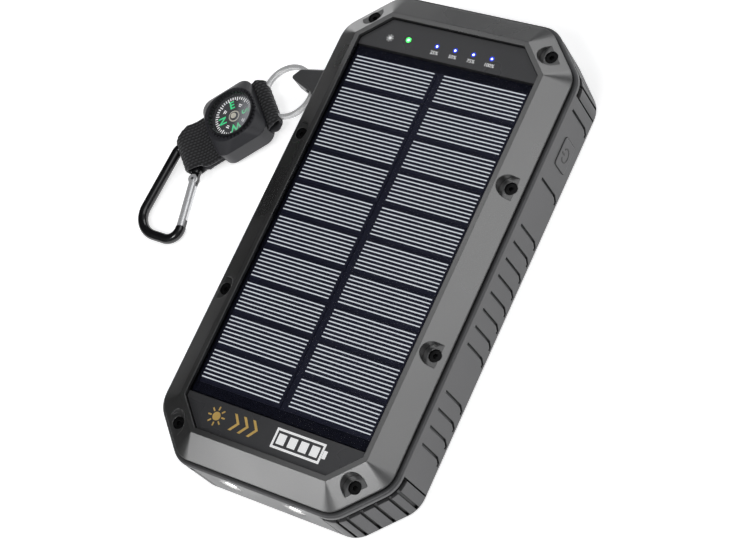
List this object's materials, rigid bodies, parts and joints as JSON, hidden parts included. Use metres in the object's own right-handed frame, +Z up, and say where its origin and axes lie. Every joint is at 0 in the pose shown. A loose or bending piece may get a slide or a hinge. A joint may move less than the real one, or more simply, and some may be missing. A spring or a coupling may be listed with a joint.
{
  "type": "solar power bank",
  "caption": "Rugged rectangular power bank with a solar panel lid, charge lights, torch lamps, covered sockets and a lug with ring, strap, compass and carabiner.",
  "frame": {"origin": "middle of the case's flat base, on the surface it lies on", "axes": "+Z up out of the solar panel; +Y along the case's length towards the charge lights; +X towards the side with the power button"},
  "size_m": [0.1371, 0.161, 0.025],
  "materials": {
    "case_plastic": "satin",
    "cover_satin": "satin",
    "black_rubber": "matte",
    "dark_rubber": "matte",
    "black_screw": "satin",
    "steel_screw": "satin",
    "board_black": "matte",
    "cell_navy": "gloss",
    "clear_lens": "clear",
    "light_lens": "clear",
    "strip_plastic": "satin",
    "board_green": "satin",
    "board_white": "satin",
    "led_white": "gloss",
    "battery_foil": "satin",
    "foam": "matte",
    "component_black": "matte",
    "port_metal": "satin",
    "plunger_grey": "matte",
    "wire_red": "satin",
    "wire_black": "satin",
    "polished_steel": "polished",
    "webbing": "woven",
    "compass_plastic": "satin",
    "compass_black": "matte",
    "brass_pin": "satin",
    "carabiner_black": "gloss"
  },
  "bodies": {
    "case": {"lower_case": "case_plastic", "seal_gasket": "black_rubber", "top_cover": "cover_satin", "cover_screws": "black_screw", "bumper_near_left": "dark_rubber", "bumper_near_right": "dark_rubber", "bumper_far_left": "dark_rubber", "bumper_far_right": "dark_rubber", "panel_backboard": "board_black", "solar_cells": "cell_navy", "panel_lens": "clear_lens", "indicator_strip": "strip_plastic", "lower_strip": "strip_plastic", "indicator_lenses": "light_lens", "indicator_board": "board_green", "indicator_leds": "led_white", "battery_cell_lower": "battery_foil", "battery_cell_upper": "battery_foil", "foam_pads": "foam", "main_board": "board_green", "board_screws": "steel_screw", "board_components": "component_black", "usb_a_ports": "port_metal", "usb_c_port": "port_metal", "port_cover_anchor": "dark_rubber", "tact_switch": "component_black", "torch_board": "board_white", "torch_leds": "led_white", "torch_lenses": "clear_lens", "battery_leads_red": "wire_red", "battery_leads_black": "wire_black", "solar_lead_red": "wire_red", "solar_lead_black": "wire_black", "torch_lead_red": "wire_red", "torch_lead_black": "wire_black"},
    "button": {"power_button": "case_plastic", "switch_plunger": "plunger_grey"},
    "port_flap": {"port_cover": "dark_rubber"},
    "ring": {"split_ring": "polished_steel"},
    "strap": {"webbing_strap": "webbing", "compass_housing": "compass_plastic", "compass_back_plate": "compass_plastic", "compass_bezel": "compass_plastic", "compass_cup": "compass_black", "compass_lens": "clear_lens", "compass_pivot": "brass_pin"},
    "card": {"compass_card": "compass_black"},
    "carabiner": {"carabiner_body": "carabiner_black"},
    "gate": {"carabiner_gate": "polished_steel", "gate_pin": "steel_screw", "gate_spring": "steel_screw"}
  },
  "joints": [
    {"name": "button_press", "type": "slide", "parent": "case", "child": "button", "axis": [-1, 0, 0], "range_m": [0, 0.0004], "stiffness_N_per_m": 900, "springref_m": -0.0005},
    {"name": "port_cover_hinge", "type": "hinge", "parent": "case", "child": "port_flap", "pos_m": [-0.01935, 0.0805, 0.0103], "axis": [0, 0, 1], "range_deg": [0, 120]},
    {"name": "ring_swing", "type": "hinge", "parent": "case", "child": "ring", "pos_m": [-0.0519, 0.05, 0.007], "axis": [-0.5509, 0.8344, 0.0162], "range_deg": [-45, 60]},
    {"name": "strap_swing", "type": "hinge", "parent": "ring", "child": "strap", "pos_m": [-0.06535, 0.03888, 0.00568], "axis": [0.7169, -0.6972, 0], "range_deg": [-80, 80], "deforming": ["webbing_strap"]},
    {"name": "compass_card_spin", "type": "hinge", "parent": "strap", "child": "card", "pos_m": [-0.07237, 0.03166, 0.00492], "axis": [-0.0527, -0.0542, 0.9971], "continuous": true},
    {"name": "carabiner_swing", "type": "hinge", "parent": "strap", "child": "carabiner", "pos_m": [-0.08622, 0.01743, 0.00341], "axis": [0.7329, -0.6793, -0.0378], "range_deg": [-80, 80], "deforming": ["webbing_strap"]},
    {"name": "gate_hinge", "type": "hinge", "parent": "carabiner", "child": "gate", "pos_m": [-0.08004, 0.00901, 0.00294], "axis": [0, 0.0556, -0.9985], "range_deg": [0, 25], "stiffness_Nm_per_rad": 0.004, "springref_deg": -22.92}
  ]
}
